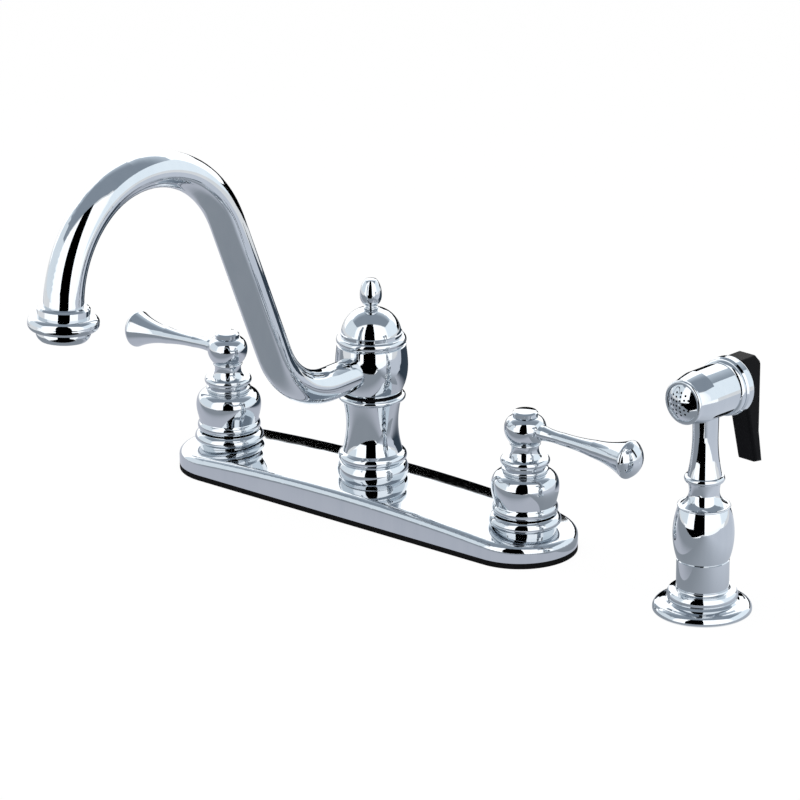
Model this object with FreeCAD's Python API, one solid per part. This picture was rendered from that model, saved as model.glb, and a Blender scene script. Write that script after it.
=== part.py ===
"""Two handle kitchen faucet with a high arched spout and a separate side sprayer.

Millimetres. Z = 0 is the top of the sink deck, the origin is on the spout's axis, +X is the
user's right and -Y is the front, where the spout points. Every piece is one file in parts/.
"""
import FreeCAD, Part
import math
import os

from FreeCAD import Placement, Rotation, Vector

# ---------------------------------------------------------------- clearances
running_gap = 0.05       # radial, a shaft that turns or slides in its bore
face_gap = 0.05          # axial, between faces that turn on each other
loose_gap = 0.3          # radial, where a piece only passes through a hole
edge_break = 0.4         # small bevels on turned edges

# ---------------------------------------------------------------- deck plate
valve_spacing = 203.2    # 8 inch centres
plate_length = 256.6
plate_width = 60.6
gasket_height = 3.0
plate_mid_height = 17.3  # crown of the plate above the deck
plate_end_height = 10.9
plate_cross_r = 400.0    # the crown's radius across the plate
plate_wall = 1.8
plate_edge_round = 4.0
valve_boss_top = 13.0
spout_boss_top = 17.0
seat_gap = 0.3           # round a foot that is let into the crown
seat_thickness = 3.0

# ---------------------------------------------------------------- valves
shank_r = 10.4           # 1/2 inch straight pipe thread, at its crests
shank_length = 50.0      # below the deck
inlet_bore_r = 5.0
valve_block_r = 12.5
valve_block_height = 6.5
valve_neck_r = 11.0
valve_neck_wall = 2.0
valve_neck_top = 31.2
valve_floor_height = 5.0       # above the gasket
crossover_r = 2.8
crossover_wall = 0.7
crossover_insert = 3.0
gallery_r = 1.3
seat_seal_height = 1.5
seat_seal_wall = 1.6
cartridge_skirt_gap = 0.8
cartridge_skirt_height = 10.5
cartridge_wall = 1.5
cartridge_flange_r = 10.4
cartridge_flange_height = 2.0
disc_height = 2.5
disc_port_r = 1.9
disc_port_offset = 4.2
window_width = 5.0
window_height = 4.0
stem_r = 4.15
rotor_height = 2.4
stem_screw_r = 1.95
bonnet_nut_flats = 23.0
bonnet_nut_height = 8.2
bonnet_nut_lip = 1.2

# ---------------------------------------------------------------- base ring and handle
base_ring_r = 18.8
base_ring_height = 7.4
base_ring_foot_r = 16.4
base_ring_foot_height = 1.7
base_ring_top_r = 16.6
handle_gap = 0.9         # the dark line between base ring and bell
bell_ring_r = 17.15
bell_ring_height = 5.2
bell_waist_r = 16.1
bell_bulb_r = 17.65
bell_bulb_height = 17.0  # from the ring to the shoulder
bell_shoulder_r = 12.6
bell_bore_r = 14.2
bell_bore_depth = 21.0
lower_disc_r = 12.2
lower_disc_height = 2.2
disc_groove_r = 10.9
disc_groove_height = 1.9
flange_r = 12.8
flange_height = 3.6
neck_foot_r = 8.6
neck_r = 7.1
neck_height = 6.6
neck_bead_r = 8.0
neck_bead_height = 1.2
ball_foot_r = 7.5
ball_r = 10.8
ball_lower_height = 8.7
ball_upper_height = 5.3
ball_top_r = 6.9
cap_r = 6.5
cap_height = 3.0
cap_dome = 0.4
cap_plug_r = 4.9
cap_plug_length = 3.0
well_depth = 9.6
handle_web = 4.5
handle_screw_head_r = 3.6
handle_screw_head_height = 2.6
handle_screw_length = 14.0
screw_slot_width = 0.9
screw_slot_depth = 1.2

# ---------------------------------------------------------------- levers
lever_droop = 2.0        # degrees below level
lever_below_ball = 1.0   # its axis, below the ball's widest level
lever_root = 7.0         # distances from the handle's axis
lever_root_r = 3.9
lever_waist = 24.0
lever_waist_r = 3.35
lever_flare = 44.0
lever_flare_r = 4.7
lever_rim = 65.5
lever_rim_r = 10.0
lever_length = 72.0

# ---------------------------------------------------------------- spout column
waterway_block_r = 16.0
waterway_block_height = 10.5
post_r = 11.6
bearing_r = 10.0
post_top = 89.2
post_thread_r = 8.8
post_thread_length = 6.0
mixing_bore_r = 7.0
mixing_bore_top = 56.2
mixing_bore_floor = 1.8  # above the gasket
feed_bore_r = 5.0
feed_hole_r = 2.4
feed_bore_over = 1.0     # above the feed holes
oring_section_r = 1.15
oring_low = 69.2
oring_high = 86.7
column_top = 63.9
column_bulge_r = 19.0
column_foot_r = 17.8
column_bulge_height = 8.9
column_groove_r = 17.0
column_ring_r = 18.25
column_ring_height = 4.6
column_waist_r = 13.8
column_collar_r = 17.8
column_collar_height = 3.6
column_collar_neck_r = 15.4
bearing_ring_r = 15.9
bearing_ring_height = 0.9
post_nut_flats = 21.0
post_nut_height = 4.4

# ---------------------------------------------------------------- spout barrel, dome and finial
barrel_foot_r = 15.6
barrel_r = 19.2
barrel_widest = 14.0     # above the barrel's foot
barrel_top_r = 18.2
barrel_height = 26.4     # foot to the groove under the ring
barrel_ring_r = 18.5
barrel_ring_height = 4.4
barrel_groove_r = 17.3
water_ring_r = 13.0
water_ring_height = 11.0
crown_bore_r = 14.0
dome_step_r = 16.3
dome_step_height = 2.2
dome_r = 15.8
dome_height = 12.6
dome_top_r = 4.6
dome_fullness = 0.2      # beyond a plain quarter ellipse, halfway up
dome_wall = 2.4
dome_skirt_height = 3.5
dome_skirt_wall = 0.9
finial_foot_r = 3.9
finial_neck_r = 2.9
finial_foot_height = 1.0
finial_neck_height = 1.2
finial_r = 5.75
finial_low_r = 4.2
finial_widest = 6.2
finial_height = 14.2
finial_tip_r = 3.1
finial_tip_height = 0.6
finial_stud_r = 2.0

# ---------------------------------------------------------------- spout tube and aerator
spout_level = 78.4       # height where the tube leaves the barrel
spout_tube_r = 9.0
spout_tube_wall = 1.1
spout_root = 14.6        # distances forward of the spout's axis
spout_run = 35.4
rise_bend_r = 45.6
rise_angle = 66.9        # degrees above level
rise_length = 85.0
arch_bend_r = 65.5
arch_turn = 75.9        # degrees round the large arc
drop_bend_r = 55.6       # last bend, down to the tip
swell_turn = 60.0        # degrees, the last stretch of that bend, where the tube swells
tip_lean = 4.0           # degrees forward of straight down
tip_length = 12.0
tip_start_r = 9.8        # after the swelling
tip_end_r = 10.1
tip_collar_r = 12.8
tip_collar_height = 5.0
tip_collar_start = 0.5   # below the end of the last bend
tip_ring_r = 17.2
tip_ring_height = 7.0
nozzle_r = 13.2
nozzle_end_r = 11.7
nozzle_height = 4.9
nozzle_wall = 1.6
screen_height = 2.2
screen_recess = 1.2
screen_hole_r = 0.9
screen_hole_rows = 3
screen_row_pitch = 2.9
tip_washer_height = 1.6

# ---------------------------------------------------------------- diverter in the post
diverter_bore_r = 5.0
diverter_low = 22.2      # heights of the sleeve's ends
diverter_high = 44.2
poppet_low = 26.2
poppet_height = 9.0
poppet_wall = 1.2
diverter_stop_height = 1.2
diverter_stop_bore_r = 2.6
diverter_spring_turns = 4

# ---------------------------------------------------------------- below the deck
deck_thickness = 6.0     # of the worktop that the nuts clamp
shank_washer_r = 22.0
shank_washer_height = 2.5
lock_nut_flats = 34.0
lock_nut_height = 9.0
hose_nipple_r = 6.4
hose_nipple_length = 28.0
hose_nipple_bore_r = 3.2
relief_depth = 0.6       # plain groove where a thread's free end starts
relief_height = 0.8
relief_gap = 0.8         # below the last nut

# ---------------------------------------------------------------- side sprayer
sprayer_x = 218.9
sprayer_y = -8.65
sprayer_turn = -5.0      # degrees, about its own axis
holder_r = 24.8
holder_rim_height = 2.4
holder_slope_r = 20.6
holder_slope_top = 5.6
holder_step_r = 17.5
holder_step_top = 10.8
holder_collar_r = 13.2
holder_collar_foot = 13.2
holder_collar_top = 27.4
guide_r = 11.6
guide_bore_r = 10.3
guide_length = 42.0      # below the deck
guide_rest = 2.0
spray_nut_flats = 36.0
spray_nut_height = 9.0
spray_washer_r = 21.0
tail_gap = 0.5
tail_bottom = 6.0
tail_bore_r = 4.0
tail_step = 1.8          # its end in the grip is this much slimmer
tail_screw_height = 8.0  # how far it reaches into the grip
grip_foot_r = 13.3
grip_r = 15.3
grip_height = 27.3
grip_top_r = 13.0
grip_step_height = 1.0
grip_wall = 3.2
neck_start_r = 11.8
neck_cove_r = 7.6
neck_cove_height = 12.2
spray_ring_r = 10.1
spray_ring_height = 3.0
neck_upper_r = 8.6
neck_slim_r = 6.4
neck_top = 101.7
neck_bore_r = 4.0
head_level = 113.2       # height of the head's axis
head_r = 13.0
head_front = 7.5         # distances forward of the sprayer's axis
head_shoulder = 9.0
head_back = 10.7         # distance behind the axis
head_wall = 2.2
face_ring_r = 11.2
face_ring_length = 1.7
face_disc_r = 9.4
face_dome = 3.0
face_disc_height = 1.3
spray_hole_r = 0.55
spray_rows = ((5, 1.9), (9, 3.9), (13, 5.8))    # how many holes, at which radius
back_flare_r = 14.3
back_flare_length = 2.4
back_groove_r = 13.5
back_groove_length = 1.0
back_cap_r = 14.8
back_cap_length = 5.4
valve_seat_offset = 4.0  # behind the sprayer's axis
valve_seat_height = 2.0
plunger_r = 2.4
plunger_gap = 0.3        # to the lever at rest
valve_collar_r = 5.0
valve_collar_height = 1.6
valve_collar_gap = 0.4
spring_wire_r = 0.45
valve_spring_gap = 1.2   # the coil's middle, outside the plunger
valve_spring_turns = 3
lever_width = 12.0
lever_top = 13.2         # above the head's axis
lever_clear = 1.0        # gap between the head's back and the lever's front
lever_slope_top = 4.0    # where the lever's sloping front starts, above the head's axis
lever_bottom = 69.3      # height above the deck
lever_bottom_front = 32.4
lever_bottom_back = 37.8
lever_back = 35.0
lever_back_low = 86.2    # height where the back bends outwards
lever_crown_back = 31.0
lever_crown_drop = 3.5
lever_edge_round = 1.6
lever_pin_r = 1.5
lever_pin_inset = 0.4    # its ends, inside the lever's sides
lever_pin_back = 6.0     # behind the head's back
lever_pin_above = 7.5    # above the head's axis
lever_ear_r = 3.0
lever_ear_width = 4.4
lever_slot_gap = 0.8     # round the ear
lever_slot_drop = 3.0    # below the ear

# ---------------------------------------------------------------- derived sizes
plate_end_r = plate_width / 2
half_plate = plate_length / 2
crown_drop = plate_mid_height - plate_end_height
crown_r = (half_plate ** 2 + crown_drop ** 2) / (2 * crown_drop)
half_spacing = valve_spacing / 2
valve_bore_r = valve_neck_r - valve_neck_wall
valve_floor = gasket_height + valve_floor_height
cartridge_foot = valve_floor + seat_seal_height
crossover_level = gasket_height + valve_block_height / 2
lock_nut_bottom = -deck_thickness - shank_washer_height - lock_nut_height
spray_nut_bottom = -deck_thickness - shank_washer_height - spray_nut_height
base_ring_top = valve_boss_top + base_ring_height
bell_foot = base_ring_top + handle_gap
neck_foot = (bell_foot + bell_ring_height + bell_bulb_height + lower_disc_height
             + disc_groove_height + flange_height)
ball_foot = neck_foot + neck_height + neck_bead_height
ball_level = ball_foot + ball_lower_height
ball_top = ball_level + ball_upper_height
well_floor = ball_top - well_depth
stem_top = well_floor - handle_web
barrel_foot = column_top + bearing_ring_height + face_gap
barrel_ring_foot = barrel_foot + barrel_height
barrel_top = barrel_ring_foot + barrel_ring_height
dome_top = barrel_top + dome_step_height + dome_height
crown_floor = post_top - face_gap
grip_foot = holder_collar_top + face_gap
grip_top = grip_foot + grip_height
spray_ring_foot = grip_top + grip_step_height + neck_cove_height
head_back_end = head_back + back_flare_length + back_groove_length + back_cap_length
lever_front = head_back_end + lever_clear
lever_pin_y = head_back_end + lever_pin_back
lever_pin_z = head_level + lever_pin_above


def turned(outline):
    """Turn an outline about Z. A point (r, z) is reached by a straight line, (r_mid, z_mid, r, z)
    by an arc through its middle point, more points by one smooth curve through all of them,
    and ("dome", z) by a ball's arc that ends on the axis."""
    corners = [Vector(0 if p[0] == "dome" else p[-2], 0, p[-1]) for p in outline]
    edges = []
    for start, step, end in zip(corners, outline[1:], corners[1:]):
        if step[0] == "dome":
            edges.append(Part.Arc(start, dome_middle(start, end), end).toShape())
        elif len(step) == 4:
            edges.append(Part.Arc(start, Vector(step[0], 0, step[1]), end).toShape())
        elif len(step) > 4:
            edges.append(smooth_edge(start, step))
        else:
            edges.append(Part.makeLine(start, end))
    edges.append(Part.makeLine(corners[-1], corners[0]))
    return Part.Face(Part.Wire(edges)).revolve(Vector(0, 0, 0), Vector(0, 0, 1), 360)


def smooth_edge(start, numbers):
    """One spline from a corner through points given as r, z, r, z and so on."""
    points = [start] + [Vector(r, 0, z) for r, z in zip(numbers[::2], numbers[1::2])]
    curve = Part.BSplineCurve()
    curve.interpolate(points)
    return curve.toShape()


def dome_middle(rim, top):
    """A point halfway along the ball's arc from a dome's rim to its top."""
    rise = top.z - rim.z
    ball = (rim.x ** 2 + rise ** 2) / (2 * rise)
    half = math.asin(rim.x / abs(ball)) / 2
    return Vector(abs(ball) * math.sin(half), 0, top.z - ball * (1 - math.cos(half)))


def rod(radius, low, high):
    """A round bar about Z from one height to another."""
    return Part.makeCylinder(radius, high - low, Vector(0, 0, low))


def cross_rod(radius, start, end):
    """A round bar from one point to another."""
    return Part.makeCylinder(radius, (end - start).Length, start, end - start)


def ring(outer, inner, low, high):
    """A round bar about Z with a round hole along it."""
    return rod(outer, low, high).cut(rod(inner, low, high))


def relief(thread_r, top):
    """The narrow groove in a thread where its free end starts."""
    return ring(thread_r + 1, thread_r - relief_depth, top - relief_height, top)


def hexagon(flats, low, high):
    """A hexagonal bar about Z, from its width across the flats."""
    corner_r = flats / math.sqrt(3)
    corners = [Vector(corner_r * math.cos(math.radians(a)), corner_r * math.sin(math.radians(a)), low)
               for a in range(0, 361, 60)]
    return Part.Face(Part.makePolygon(corners)).extrude(Vector(0, 0, high - low))


def coil(radius, wire_r, low, high, turns):
    """A compression spring about Z whose wire's ends reach the two heights."""
    rise = high - low - 2 * wire_r
    helix = Part.makeLongHelix(rise / turns, rise, radius)
    section = Part.Wire(Part.Circle(Vector(radius, 0, 0), Vector(0, 1, 0), wire_r).toShape())
    wire = Part.Wire(helix.Edges).makePipeShell([section], True, True)
    wire.translate(Vector(0, 0, low + wire_r))
    return wire


def moved_by(shape, placement):
    """A copy of a shape turned and moved as a whole."""
    copy = shape.copy()
    copy.Placement = placement.multiply(copy.Placement)
    return copy


def twins(shape):
    """A piece that is drawn at X = 0, as a group of two on the valves' axes."""
    return Part.makeCompound([placed(shape, half_spacing), mirrored(placed(shape, half_spacing))])


def placed(shape, x=0.0, y=0.0, z=0.0):
    """A copy of a shape moved along the three axes."""
    copy = shape.copy()
    copy.translate(Vector(x, y, z))
    return copy


def mirrored(shape):
    """The same piece on the other side of the spout."""
    return shape.mirror(Vector(0, 0, 0), Vector(1, 0, 0))


# ---------------------------------------------------------------- deck plate
def plate_outline(half_length, end_r, low, high):
    """The plate's plan, straight sides with round ends, as a prism."""
    straight = half_length - end_r
    front = Part.makeLine(Vector(-straight, -end_r, low), Vector(straight, -end_r, low))
    right = Part.Arc(Vector(straight, -end_r, low), Vector(half_length, 0, low),
                     Vector(straight, end_r, low)).toShape()
    back = Part.makeLine(Vector(straight, end_r, low), Vector(-straight, end_r, low))
    left = Part.Arc(Vector(-straight, end_r, low), Vector(-half_length, 0, low),
                    Vector(-straight, -end_r, low)).toShape()
    return Part.Face(Part.Wire([front, right, back, left])).extrude(Vector(0, 0, high - low))


def crown_roll(depth):
    """A barrel-shaped roll along Y whose top is the plate's crown, less a depth."""
    top = crown_r - depth
    end = top - plate_cross_r + math.sqrt(plate_cross_r ** 2 - plate_width ** 2)
    corners = [Vector(0, plate_width, 0), Vector(0, -plate_width, 0),
               Vector(0, -plate_width, -end), Vector(0, plate_width, -end)]
    edges = [Part.makeLine(corners[0], corners[1]), Part.makeLine(corners[1], corners[2]),
             Part.Arc(corners[2], Vector(0, 0, -top), corners[3]).toShape(),
             Part.makeLine(corners[3], corners[0])]
    roll = Part.Face(Part.Wire(edges)).revolve(Vector(0, 0, 0), Vector(0, 1, 0), 360)
    return placed(roll, 0, 0, plate_mid_height - crown_r)


def deck_plate():
    """The chrome cover: a crowned shell with a round seat for each valve and for the column."""
    over = plate_mid_height * 2
    body = plate_outline(half_plate, plate_end_r, gasket_height, over).common(crown_roll(0))
    rim = [e for e in body.Edges if e.BoundBox.ZMin > gasket_height + seat_gap]
    body = body.makeFillet(plate_edge_round, rim)
    shell = body.cut(plate_outline(half_plate - plate_wall, plate_end_r - plate_wall,
                                   gasket_height, over).common(crown_roll(plate_wall)))
    seats = [(-half_spacing, base_ring_foot_r, valve_boss_top, valve_neck_r),
             (half_spacing, base_ring_foot_r, valve_boss_top, valve_neck_r),
             (0, column_foot_r, spout_boss_top, post_r)]
    for x, foot_r, seat, neck_r in seats:
        low = seat - seat_thickness
        backing = placed(rod(foot_r + seat_gap + plate_wall, low, over), x).common(body)
        shell = shell.fuse([backing, placed(rod(foot_r, low, seat), x)])
        shell = shell.cut(placed(rod(foot_r + seat_gap, seat, over), x))
        shell = shell.cut(placed(rod(neck_r + loose_gap, 0, over), x))
    return shell.removeSplitter()


def base_gasket():
    """The black rubber pad between the plate and the deck."""
    pad = plate_outline(half_plate, plate_end_r, 0, gasket_height)
    for x in (-half_spacing, half_spacing):
        pad = pad.cut(placed(rod(shank_r + loose_gap, 0, gasket_height), x))
    return pad.cut(rod(hose_nipple_r + loose_gap, 0, gasket_height))


# ---------------------------------------------------------------- valves, drawn on the +X side
def valve_body():
    """Brass body: threaded shank below, the cartridge's chamber above."""
    block_top = gasket_height + valve_block_height
    body = rod(shank_r, -shank_length, gasket_height)
    body = body.fuse(rod(valve_block_r, gasket_height, block_top))
    body = body.fuse(rod(valve_neck_r, block_top, valve_neck_top))
    body = body.cut(rod(inlet_bore_r, -shank_length, valve_floor))
    body = body.cut(rod(valve_bore_r, valve_floor, valve_neck_top))
    outlet_x = -(inlet_bore_r + valve_bore_r) / 2 - gallery_r / 2
    outlet = cross_rod(crossover_r - crossover_wall, Vector(-valve_block_r, 0, crossover_level),
                       Vector(outlet_x, 0, crossover_level))
    gallery = placed(rod(gallery_r, crossover_level, valve_floor), outlet_x)
    socket = cross_rod(crossover_r, Vector(-valve_block_r - 1, 0, crossover_level),
                       Vector(-valve_block_r + crossover_insert, 0, crossover_level))
    free_end = relief(shank_r, lock_nut_bottom - relief_gap)
    return body.cut(outlet).cut(gallery).cut(socket).cut(free_end)


def seat_seal():
    """Rubber ring between the inlet and the fixed disc."""
    return ring(inlet_bore_r + seat_seal_wall, inlet_bore_r, valve_floor, cartridge_foot)


def cartridge_shell():
    """Brass sleeve that holds the two discs and the stem."""
    shell_r = valve_bore_r - running_gap
    skirt_top = cartridge_foot + cartridge_skirt_height
    flange_top = valve_neck_top + cartridge_flange_height
    shell = rod(shell_r - cartridge_skirt_gap, cartridge_foot, skirt_top)
    shell = shell.fuse(rod(shell_r, skirt_top, valve_neck_top))
    shell = shell.fuse(rod(cartridge_flange_r, valve_neck_top, flange_top))
    shell = shell.cut(rod(chamber_r(), cartridge_foot, valve_neck_top - cartridge_wall))
    shell = shell.cut(rod(stem_r + running_gap, cartridge_foot, flange_top))
    level = turning_disc_foot() + disc_height + window_height
    for angle in (0, 90):
        window = Part.makeBox(4 * shell_r, window_width, window_height,
                              Vector(-2 * shell_r, -window_width / 2, level - window_height / 2))
        window.rotate(Vector(0, 0, 0), Vector(0, 0, 1), angle)
        shell = shell.cut(window)
    return shell


def chamber_r():
    """Inner radius of the cartridge."""
    return valve_bore_r - running_gap - cartridge_skirt_gap - cartridge_wall + loose_gap


def turning_disc_foot():
    """Height of the moving disc, just above the fixed one."""
    return cartridge_foot + disc_height + face_gap


def ported_disc(foot):
    """A ceramic disc with two ports."""
    disc = rod(chamber_r() - running_gap, foot, foot + disc_height)
    for side in (-1, 1):
        disc = disc.cut(placed(rod(disc_port_r, foot, foot + disc_height), 0, side * disc_port_offset))
    return disc


def stem():
    """Turning stem: a rotor on the moving disc, and a shaft up into the handle."""
    rotor_foot = turning_disc_foot() + disc_height
    shaft = rod(stem_r, rotor_foot, stem_top)
    rotor = rod(chamber_r() - loose_gap, rotor_foot, rotor_foot + rotor_height)
    thread = rod(stem_screw_r, well_floor - handle_screw_length, stem_top)
    return shaft.fuse(rotor).cut(thread)


def bonnet_nut():
    """Hexagonal nut that clamps the cartridge into the body."""
    top = valve_neck_top + cartridge_flange_height + bonnet_nut_lip
    nut = hexagon(bonnet_nut_flats, top - bonnet_nut_height, top)
    nut = nut.cut(rod(valve_neck_r, top - bonnet_nut_height, top - bonnet_nut_lip))
    return nut.cut(rod(stem_r + loose_gap, top - bonnet_nut_lip, top))


def base_ring():
    """Fixed chrome ring that clamps the plate, below the handle."""
    inner = valve_neck_r
    low, high = valve_boss_top, base_ring_top
    middle = (low + high) / 2
    return turned([(inner, low), (base_ring_foot_r, low),
                   (base_ring_foot_r, low + base_ring_foot_height),
                   (base_ring_r - 0.4, low + base_ring_foot_height + 0.9, base_ring_r, middle + 0.4),
                   (base_ring_r - 0.6, high - 1.5, base_ring_top_r, high),
                   (inner, high)])


# ---------------------------------------------------------------- handles, on their own axis
def handle_bell():
    """Bell, discs, neck and ball: one chrome casting."""
    ring_top = bell_foot + bell_ring_height
    shoulder = ring_top + bell_bulb_height
    groove_foot = shoulder + lower_disc_height
    flange_foot = groove_foot + disc_groove_height
    flange_top = flange_foot + flange_height
    bead_foot = flange_top + neck_height
    foot_r = bell_ring_r - 0.9
    bulb_level = ring_top + bell_bulb_height * 0.55
    body = turned([
        (bell_bore_r, bell_foot), (foot_r, bell_foot),
        (bell_ring_r, bell_foot + bell_ring_height / 2, foot_r, ring_top - 0.5),
        (bell_waist_r, ring_top),
        (bell_waist_r + 0.95, ring_top + 4.0, bell_bulb_r, bulb_level,
         bell_bulb_r - 1.5, shoulder - 2.6, bell_shoulder_r, shoulder - 0.4),
        (lower_disc_r - 0.7, shoulder),
        (lower_disc_r, shoulder + lower_disc_height / 2, lower_disc_r - 0.7, groove_foot),
        (disc_groove_r, groove_foot + edge_break),
        (disc_groove_r, flange_foot - edge_break),
        (flange_r - 0.8, flange_foot),
        (flange_r, flange_foot + flange_height / 2, flange_r - 1.0, flange_top),
        (neck_foot_r, flange_top),
        (neck_r, flange_top + neck_height * 0.6, neck_r + 0.3, bead_foot),
        (neck_bead_r, bead_foot + neck_bead_height / 2, ball_foot_r, ball_foot),
        (ball_foot_r + 2.4, ball_foot + ball_lower_height * 0.38, ball_r, ball_level,
         ball_r - 1.2, ball_level + ball_upper_height * 0.62, ball_top_r, ball_top),
        (cap_plug_r + running_gap, ball_top), (cap_plug_r + running_gap, well_floor),
        (stem_screw_r + loose_gap, well_floor), (stem_screw_r + loose_gap, stem_top),
        (stem_r, stem_top), (stem_r, bell_foot + bell_bore_depth),
        (bell_bore_r - 2.0, bell_foot + bell_bore_depth),
        (bell_bore_r, bell_foot + bell_bore_depth - 2.0)])
    return body.cut(lever_blank(lever_root_r))


def lever_blank(radius):
    """The straight socket for the lever's root."""
    blank = rod(radius, lever_root, 2 * ball_r)
    return laid_out(blank)


def laid_out(shape):
    """Turn a piece that stands on the handle's axis to point along +X, drooping a little."""
    turn = Rotation(Vector(0, 1, 0), 90 + lever_droop)
    return moved_by(shape, Placement(Vector(0, 0, ball_level - lever_below_ball), turn))


def lever():
    """Tapered lever that flares to a wide domed end."""
    flare_mid = (lever_flare + lever_rim) / 2
    return laid_out(turned([
        (0, lever_root), (lever_root_r, lever_root), (lever_root_r, ball_r + 1.4),
        (lever_root_r - 0.45, ball_r + 4.6, lever_waist_r, lever_waist),
        (lever_waist_r + 0.35, (lever_waist + lever_flare) / 2 + 1.5, lever_flare_r, lever_flare),
        (lever_flare_r + 1.75, flare_mid + 0.5, lever_rim_r - 0.35, lever_rim - 1.0),
        (lever_rim_r, lever_rim, lever_rim_r - 0.6, lever_rim + 1.3),
        ("dome", lever_length)]))


def index_cap():
    """Round cap that plugs the screw's well."""
    return turned([(0, ball_top - cap_plug_length), (cap_plug_r, ball_top - cap_plug_length),
                   (cap_plug_r, ball_top), (cap_r - edge_break, ball_top),
                   (cap_r, ball_top + edge_break),
                   (cap_r, ball_top + cap_height - 2 * edge_break),
                   (cap_r - 2 * edge_break, ball_top + cap_height),
                   ("dome", ball_top + cap_height + cap_dome)])


def handle_screw():
    """Screw that holds the handle on the stem."""
    head_top = well_floor + handle_screw_head_height
    screw = rod(handle_screw_head_r, well_floor, head_top)
    screw = screw.fuse(rod(stem_screw_r, well_floor - handle_screw_length, well_floor))
    slot = Part.makeBox(2 * handle_screw_head_r, screw_slot_width, screw_slot_depth,
                        Vector(-handle_screw_head_r, -screw_slot_width / 2,
                               head_top - screw_slot_depth))
    return screw.cut(slot)


# ---------------------------------------------------------------- spout column
def waterway():
    """Brass centre body with the post that the spout turns on."""
    block_top = gasket_height + waterway_block_height
    body = rod(waterway_block_r, gasket_height, block_top)
    body = body.fuse(rod(post_r, block_top, column_top))
    body = body.fuse(rod(bearing_r, column_top, post_top))
    body = body.fuse(rod(post_thread_r, post_top, post_top + post_thread_length))
    body = body.fuse(rod(hose_nipple_r, -hose_nipple_length, gasket_height))
    mixing_floor = gasket_height + mixing_bore_floor
    body = body.cut(rod(mixing_bore_r, mixing_floor, mixing_bore_top))
    body = body.cut(rod(feed_bore_r, mixing_bore_top, spout_level + feed_hole_r + feed_bore_over))
    body = body.cut(rod(hose_nipple_bore_r, -hose_nipple_length, mixing_floor))
    body = body.cut(relief(hose_nipple_r, -relief_gap))
    for level in (oring_low, oring_high):
        body = body.cut(ring(bearing_r + 1, oring_floor_r(), level - oring_section_r,
                             level + oring_section_r))
    for angle in (0, 90):
        feed = cross_rod(feed_hole_r, Vector(-2 * bearing_r, 0, spout_level),
                         Vector(2 * bearing_r, 0, spout_level))
        feed.rotate(Vector(0, 0, 0), Vector(0, 0, 1), angle)
        body = body.cut(feed)
    for side in (-1, 1):
        inlet = cross_rod(crossover_r - crossover_wall, Vector(0, 0, crossover_level),
                          Vector(side * waterway_block_r, 0, crossover_level))
        socket = cross_rod(crossover_r,
                           Vector(side * (waterway_block_r - crossover_insert), 0, crossover_level),
                           Vector(side * (waterway_block_r + 1), 0, crossover_level))
        body = body.cut(inlet).cut(socket)
    return body


def oring_floor_r():
    """Radius of the groove's floor, which leaves room for the ring's full section."""
    return bearing_r - 2 * oring_section_r


def crossover():
    """Copper tube from a valve to the centre body, on the +X side."""
    start = Vector(waterway_block_r - crossover_insert, 0, crossover_level)
    end = Vector(half_spacing - valve_block_r + crossover_insert, 0, crossover_level)
    return cross_rod(crossover_r, start, end).cut(cross_rod(crossover_r - crossover_wall, start, end))


def spout_orings():
    """Two rubber rings that seal the turning barrel."""
    rings = []
    for level in (oring_low, oring_high):
        section = Part.makeTorus(bearing_r - oring_section_r, oring_section_r, Vector(0, 0, level))
        rings.append(section)
    return Part.makeCompound(rings)


def diverter_sleeve():
    """Plastic seat of the diverter, pressed into the mixing bore."""
    return ring(mixing_bore_r, diverter_bore_r, diverter_low, diverter_high)


def diverter_poppet():
    """Small piston that sends water to the sprayer when its valve is open."""
    outer = diverter_bore_r - running_gap
    top = poppet_low + poppet_height
    cup = rod(outer, poppet_low, top)
    return cup.cut(rod(outer - poppet_wall, poppet_low, top - poppet_wall))


def diverter_spring():
    """Light spring between the poppet and the stop."""
    top = poppet_low + poppet_height
    return coil(diverter_bore_r - running_gap - poppet_wall, spring_wire_r, top, diverter_high,
                diverter_spring_turns)


def diverter_stop():
    """Clip ring that the diverter's spring pushes against."""
    return ring(mixing_bore_r, diverter_stop_bore_r, diverter_high, diverter_high + diverter_stop_height)


def spout_column():
    """Chrome column between the plate and the spout's barrel."""
    inner = post_r + running_gap
    low = spout_boss_top
    bulge_top = low + column_bulge_height
    ring_foot = bulge_top + 1.0
    ring_top = ring_foot + column_ring_height
    collar_foot = column_top - column_collar_height
    return turned([
        (inner, low), (column_foot_r, low),
        (column_bulge_r, low + column_bulge_height * 0.48, column_foot_r - 0.2, bulge_top),
        (column_groove_r, bulge_top + 0.4), (column_groove_r, ring_foot),
        (column_ring_r - 0.8, ring_foot),
        (column_ring_r, (ring_foot + ring_top) / 2, column_ring_r - 1.2, ring_top),
        (column_collar_neck_r + 0.5, ring_top + 0.8),
        (column_waist_r, (ring_top + collar_foot) / 2, column_collar_neck_r, collar_foot),
        (column_collar_r - 0.7, collar_foot + 0.7),
        (column_collar_r, collar_foot + column_collar_height * 0.5,
         column_collar_r - 0.9, column_top - 0.3),
        (column_collar_r - 1.5, column_top), (inner, column_top)])


def spout_bearing():
    """Black plastic ring that the barrel turns on."""
    return ring(bearing_ring_r, bearing_r + running_gap, column_top, column_top + bearing_ring_height)


def post_nut():
    """Nut on the post's thread that keeps the barrel down."""
    nut = hexagon(post_nut_flats, post_top, post_top + post_nut_height)
    return nut.cut(rod(post_thread_r, post_top, post_top + post_nut_height))


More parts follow.
